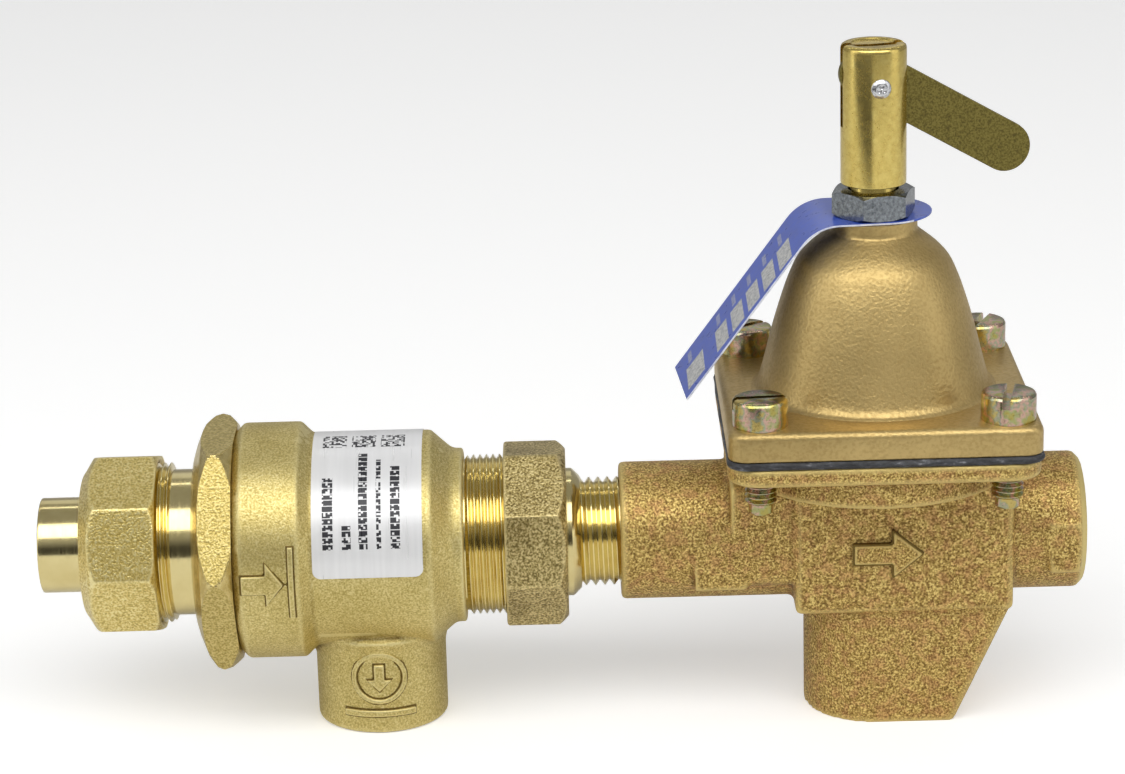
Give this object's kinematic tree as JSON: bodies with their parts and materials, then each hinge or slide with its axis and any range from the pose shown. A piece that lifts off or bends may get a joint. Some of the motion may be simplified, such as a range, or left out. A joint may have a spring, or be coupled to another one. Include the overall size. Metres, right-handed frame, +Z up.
{
  "type": "backflow preventer and feed pressure regulator set",
  "caption": "Brass dual check backflow preventer with vent, joined by a union to a bronze diaphragm pressure regulator with adjusting stem and quick-fill lever.",
  "frame": {"origin": "centre of the inlet's solder cup, at its mouth, on the pipe's centre line", "axes": "+X along the flow from inlet to outlet, +Z up along the regulator's stem, vent and strainer pocket down"},
  "size_m": [0.2028, 0.059, 0.1324],
  "materials": {
    "machined_brass": "turned, bright",
    "forged_brass": "forged and sandblasted, granular",
    "antique_brass": "forged, dull and darkened",
    "cast_bronze": "sand cast, speckled brown",
    "cast_brass_cover": "blasted, satin gold",
    "stainless_steel": "bright",
    "zinc_dichromate": "yellow zinc, iridescent",
    "clear_zinc": "clear zinc",
    "bright_rivet": "bright, staked",
    "olive_zinc": "olive zinc chromate, speckled",
    "black_rubber": "matt",
    "silver_label": "satin silver film",
    "blue_tag": "blue printed film with silver panels"
  },
  "bodies": {
    "valve_set": {"inlet_tailpiece": "machined_brass", "inlet_union_gasket": "black_rubber", "inlet_cap": "forged_brass", "cap_o_ring": "black_rubber", "inlet_strainer_screen": "stainless_steel", "backflow_body": "forged_brass", "first_check_seat": "machined_brass", "first_check_spring": "stainless_steel", "first_check_guide": "machined_brass", "vent_diaphragm": "black_rubber", "vent_seat_ring": "black_rubber", "vent_sleeve_spring": "stainless_steel", "second_check_seat": "machined_brass", "second_check_spring": "stainless_steel", "second_check_guide": "machined_brass", "outlet_union_gasket": "black_rubber", "outlet_nipple": "machined_brass", "body_label": "silver_label", "regulator_body": "cast_bronze", "diaphragm": "black_rubber", "valve_seat": "machined_brass", "valve_return_spring": "stainless_steel", "strainer_screen": "stainless_steel", "strainer_plug": "machined_brass", "plug_o_ring": "black_rubber", "spring_cover": "cast_brass_cover", "cover_screws": "zinc_dichromate", "range_spring": "stainless_steel", "hang_tag": "blue_tag"},
    "inlet_nut": {"inlet_union_nut": "forged_brass"},
    "outlet_nut": {"outlet_union_nut": "antique_brass"},
    "first_check": {"first_check_poppet": "machined_brass", "first_check_seal": "black_rubber"},
    "vent_piston": {"vent_sleeve": "machined_brass"},
    "second_check": {"second_check_poppet": "machined_brass", "second_check_seal": "black_rubber"},
    "valve_train": {"upper_diaphragm_plate": "stainless_steel", "lower_diaphragm_plate": "stainless_steel", "valve_stem": "stainless_steel", "stem_nut": "machined_brass", "disc_holder": "machined_brass", "valve_disc": "black_rubber"},
    "range_button": {"spring_button": "machined_brass"},
    "stem": {"adjusting_screw": "machined_brass", "lever_pin": "bright_rivet"},
    "lever": {"fill_lever": "olive_zinc"},
    "push_rod": {"fill_push_rod": "machined_brass"},
    "jam_nut": {"lock_nut": "clear_zinc"}
  },
  "joints": [
    {"name": "inlet_nut_turn", "type": "hinge", "parent": "valve_set", "child": "inlet_nut", "pos_m": [0.016, 0, 0], "axis": [1, 0, 0], "continuous": true},
    {"name": "outlet_nut_turn", "type": "hinge", "parent": "valve_set", "child": "outlet_nut", "pos_m": [0.0965, 0, 0], "axis": [1, 0, 0], "continuous": true},
    {"name": "first_check_slide", "type": "slide", "parent": "valve_set", "child": "first_check", "axis": [1, 0, 0], "range_m": [0, 0.0035], "stiffness_N_per_m": 250, "springref_m": -0.004, "deforming": ["first_check_spring"]},
    {"name": "vent_piston_slide", "type": "slide", "parent": "valve_set", "child": "vent_piston", "axis": [1, 0, 0], "range_m": [0, 0.0014], "stiffness_N_per_m": 300, "springref_m": -0.003, "deforming": ["vent_sleeve_spring", "vent_diaphragm"]},
    {"name": "second_check_slide", "type": "slide", "parent": "valve_set", "child": "second_check", "axis": [1, 0, 0], "range_m": [0, 0.0035], "stiffness_N_per_m": 250, "springref_m": -0.004, "deforming": ["second_check_spring"]},
    {"name": "valve_slide", "type": "slide", "parent": "valve_set", "child": "valve_train", "axis": [0, 0, -1], "range_m": [0, 0.0015], "stiffness_N_per_m": 500, "springref_m": -0.003, "deforming": ["valve_return_spring", "range_spring", "diaphragm"]},
    {"name": "range_button_slide", "type": "slide", "parent": "valve_set", "child": "range_button", "axis": [0, 0, 1], "range_m": [0, 0.00476], "deforming": ["range_spring"]},
    {"name": "stem_turn", "type": "hinge", "parent": "range_button", "child": "stem", "pos_m": [0.1625, 0, 0.069], "axis": [0, 0, 1], "range_deg": [0, 1080]},
    {"name": "lever_lift", "type": "hinge", "parent": "stem", "child": "lever", "pos_m": [0.1625, 0, 0.0884], "axis": [0.1478, -0.989, 0], "range_deg": [0, 120.5]},
    {"name": "push_rod_slide", "type": "slide", "parent": "stem", "child": "push_rod", "axis": [0, 0, -1], "range_m": [0, 0.0025]},
    {"name": "jam_nut_turn", "type": "hinge", "parent": "valve_set", "child": "jam_nut", "pos_m": [0.1625, 0, 0.0654], "axis": [0, 0, 1], "range_deg": [0, 180]}
  ],
  "couplings": [
    {"joint": "lever_lift", "follows": "valve_slide", "rad_per_m": 1402},
    {"joint": "push_rod_slide", "follows": "valve_slide", "ratio": 1.6333},
    {"joint": "stem_turn", "follows": "range_button_slide", "rad_per_m": 3957.9}
  ]
}
